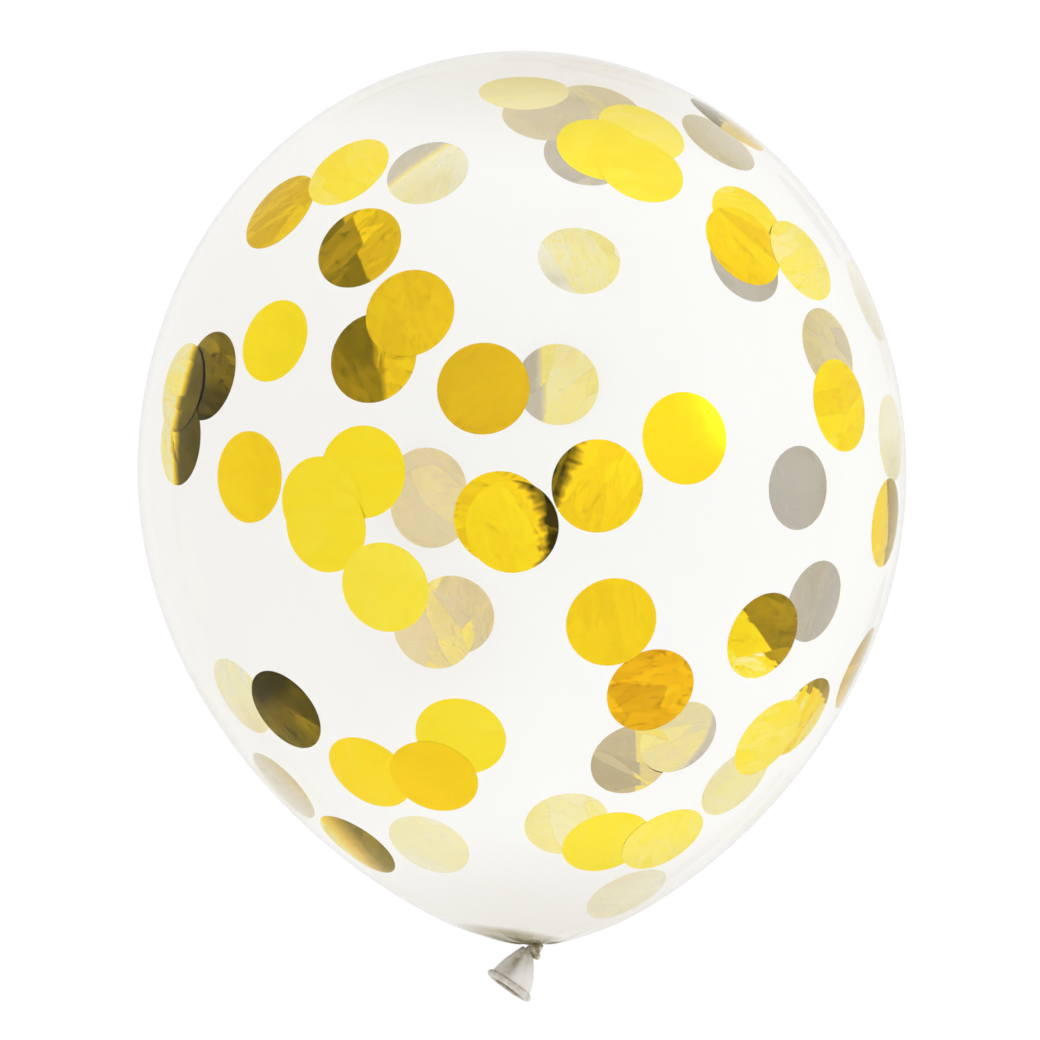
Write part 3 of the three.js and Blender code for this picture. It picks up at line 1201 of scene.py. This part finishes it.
        position = wire.add("GeometryNodeInputPosition")
        off_centre = wire.vector("SUBTRACT", position, named("centre", "FLOAT_VECTOR"))
        span = wire.math("MULTIPLY", radius, named("size"))
        across, along = (
            wire.math("DIVIDE", wire.vector("DOT_PRODUCT", off_centre, named(name, "FLOAT_VECTOR")), span)
            for name in ("way", "beside")
        )
        raised = wire.math("MAXIMUM", wire.math("MULTIPLY_ADD", across, 0.5, 0.5), 0.0)
        raised = wire.math("POWER", raised, 2.0)
        height = wire.math("MULTIPLY_ADD", raised, named("lift"), height)
        start = wire.vector("ADD", position, wire.vector("SCALE", facing, self.cast_above))
        target = wire.add("GeometryNodeObjectInfo", {"Object": lining})
        cast = wire.add(
            "GeometryNodeRaycast",
            {
                "Target Geometry": target.outputs["Geometry"],
                "Source Position": start,
                "Ray Direction": wire.vector("SCALE", facing, -1.0),
                "Ray Length": self.cast_length,
            },
        )
        laid = wire.add(
            "GeometryNodeSetPosition",
            {
                "Geometry": loose,
                "Selection": cast.outputs["Is Hit"],
                "Position": wire.vector(
                    "ADD", cast.outputs["Hit Position"], wire.vector("SCALE", facing, height)
                ),
            },
        )
        # Where each point lies against its disc's painted shade border.
        round_off = wire.math("MULTIPLY_ADD", across, across, wire.math("MULTIPLY", along, along))
        depth = wire.math("MULTIPLY_ADD", round_off, named("bow"), across)
        depth = wire.math("SUBTRACT", depth, named("shade_start"))
        side = wire.add("ShaderNodeCombineXYZ", {"X": depth, "Y": along, "Z": across})
        shaded = rule.store(laid, "side", side)
        offset = wire.vector("SCALE", facing, thickness)
        thick = wire.add(
            "GeometryNodeExtrudeMesh",
            {"Mesh": shaded, "Offset": offset, "Offset Scale": 1.0, "Individual": False},
            mode="FACES",
        )
        inside = rule.store(thick, "inside", thick.outputs["Top"], "BOOLEAN", "FACE")
        both = wire.add("GeometryNodeJoinGeometry")
        wire.feed(both.inputs["Geometry"], inside)
        wire.feed(both.inputs["Geometry"], wire.add("GeometryNodeFlipFaces", {"Mesh": shaded}))
        closed = wire.add("GeometryNodeMergeByDistance", {"Geometry": both, "Distance": 0.004 * MM})
        smooth = wire.add("GeometryNodeSetShadeSmooth", {"Geometry": closed})
        angles = wire.add("GeometryNodeInputMeshEdgeAngle").outputs["Unsigned Angle"]
        rim = wire.math("GREATER_THAN", angles, self.rim_angle)
        edged = wire.add(
            "GeometryNodeSetShadeSmooth",
            {"Geometry": smooth, "Selection": rim, "Shade Smooth": False},
            domain="EDGE",
        )
        rule.finish(edged, face, back, named("inside", "BOOLEAN"))
        return rule

    def build(self, name: str) -> bpy.types.Object:
        """Makes all the discs as one plain mesh.

        Args:
            name: The object's name.

        Returns:
            The object.
        """
        return self.rule().make(name, self.seeds(name))


@dataclass
class SkinAssembly:
    """The whole latex skin as one piece: body, knot and tail."""

    body: BalloonBody
    neck: TiedNeck

    def build(self, name: str) -> bpy.types.Object:
        """Makes the piece.

        Args:
            name: The object's name.

        Returns:
            The object, with the clear body and the gathered neck in one mesh.
        """
        skin = self.body.build(name)
        skin.data.materials.append(self.neck.finish.material())
        bm = bmesh.new()
        bm.from_mesh(skin.data)
        # The 'fold' layer carries the neck's tan and its painted shade in folds and grooves.
        bm.verts.layers.float.new("fold")
        body_faces = len(bm.faces)
        self.neck.add_to(bm)
        bm.faces.ensure_lookup_table()
        for face in bm.faces[body_faces:]:
            face.material_index = 1
            face.smooth = True
        bm.to_mesh(skin.data)
        bm.free()
        return skin


@dataclass(frozen=True)
class LightPatch:
    """One soft bright or dark area of the studio around the balloon."""

    way: tuple[float, float, float]
    core: float
    edge: float
    level: float


@dataclass
class Studio:
    """Camera, floor and soft light."""

    form: BalloonForm
    pixel: float = 0.3648 * MM
    axis_column: float = 522.0
    widest_row: float = 471.2
    distance: float = 2.2
    sensor: float = 36.0
    floor_side: float = 60.0
    dome_level: float = 1.0
    patches: tuple[LightPatch, ...] = (
        LightPatch((0.30, 0.65, 0.60), 10, 70, 1.15),
        LightPatch((0.89, 0.31, 0.34), 6, 16, 2.4),
    )

    def camera(self) -> bpy.types.Object:
        """Makes the camera, straight above and looking down with the crown at the top."""
        middle = IMAGE_SIDE / 2
        data = bpy.data.cameras.new("camera")
        data.sensor_width = self.sensor
        data.lens = self.sensor * self.distance / (IMAGE_SIDE * self.pixel)
        camera = bpy.data.objects.new("camera", data)
        camera.location = (
            (middle - self.axis_column) * self.pixel,
            (self.widest_row - middle) * self.pixel,
            self.form.axis_height + self.distance,
        )
        bpy.context.scene.collection.objects.link(camera)
        bpy.context.scene.camera = camera
        return camera

    def floor(self) -> bpy.types.Object:
        """Makes the pale floor just under the resting spot."""
        half = self.floor_side / 2
        drop = -0.05 * MM
        mesh = bpy.data.meshes.new("floor")
        corners = [(-half, -half, drop), (half, -half, drop), (half, half, drop), (-half, half, drop)]
        mesh.from_pydata(corners, [], [(0, 1, 2, 3)])
        mesh.materials.append(LightTable().material())
        floor = bpy.data.objects.new("floor", mesh)
        bpy.context.scene.collection.objects.link(floor)
        return floor

    def dome(self) -> None:
        """Makes the studio's light: an even dome with soft bright and dark areas."""
        scene = bpy.context.scene
        scene.world = bpy.data.worlds.new("studio")
        scene.world.use_nodes = True
        wire = Wiring(scene.world.node_tree)
        way = wire.add("ShaderNodeTexCoord").outputs["Generated"]
        level: Any = self.dome_level
        for patch in self.patches:
            near = wire.vector("DOT_PRODUCT", way, tuple(Vector(patch.way).normalized()))
            mask = wire.add(
                "ShaderNodeMapRange",
                {
                    "Value": near,
                    "From Min": math.cos(math.radians(patch.edge)),
                    "From Max": math.cos(math.radians(patch.core)),
                },
                interpolation_type="SMOOTHSTEP",
            )
            mix = wire.add("ShaderNodeMix", data_type="FLOAT")
            wire.feed(mix.inputs["Factor"], mask)
            wire.feed(mix.inputs["A"], level)
            wire.feed(mix.inputs["B"], patch.level)
            level = mix.outputs["Result"]
        background = scene.world.node_tree.nodes["Background"]
        wire.feed(background.inputs["Color"], (1.0, 1.0, 1.0, 1.0))
        wire.feed(background.inputs["Strength"], level)

    def tone(self) -> None:
        """Shows the colours as they are, without a film look."""
        bpy.context.scene.view_settings.view_transform = "Standard"


def main() -> None:
    """Builds the balloon, its confetti and the studio."""
    logging.basicConfig(level=logging.INFO, format="%(name)s: %(message)s")
    form = BalloonForm.from_frame()
    studio = Studio(form)
    camera = studio.camera()
    floor = studio.floor()
    studio.dome()
    studio.tone()

    neck = TiedNeck(form, GatheredLatex())
    body = BalloonBody(form, ClearLatex(tie_place=(form.neck_shift, form.neck_y, form.axis_height)))
    lining = body.build("lining", lining_only=True)
    confetti = Confetti(lining, camera, GOLD_FACE, PALE_BACK).build("gold_confetti")
    bpy.data.meshes.remove(lining.data)
    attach(confetti, BODY)
    log.info("%s: %d faces", confetti.name, len(confetti.data.polygons))

    skin = SkinAssembly(body, neck).build("latex_skin")
    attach(skin, BODY)
    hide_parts(SKIN_NODE)
    log.info("%s: %d faces", skin.name, len(skin.data.polygons))


if __name__ == "__main__":
    main()
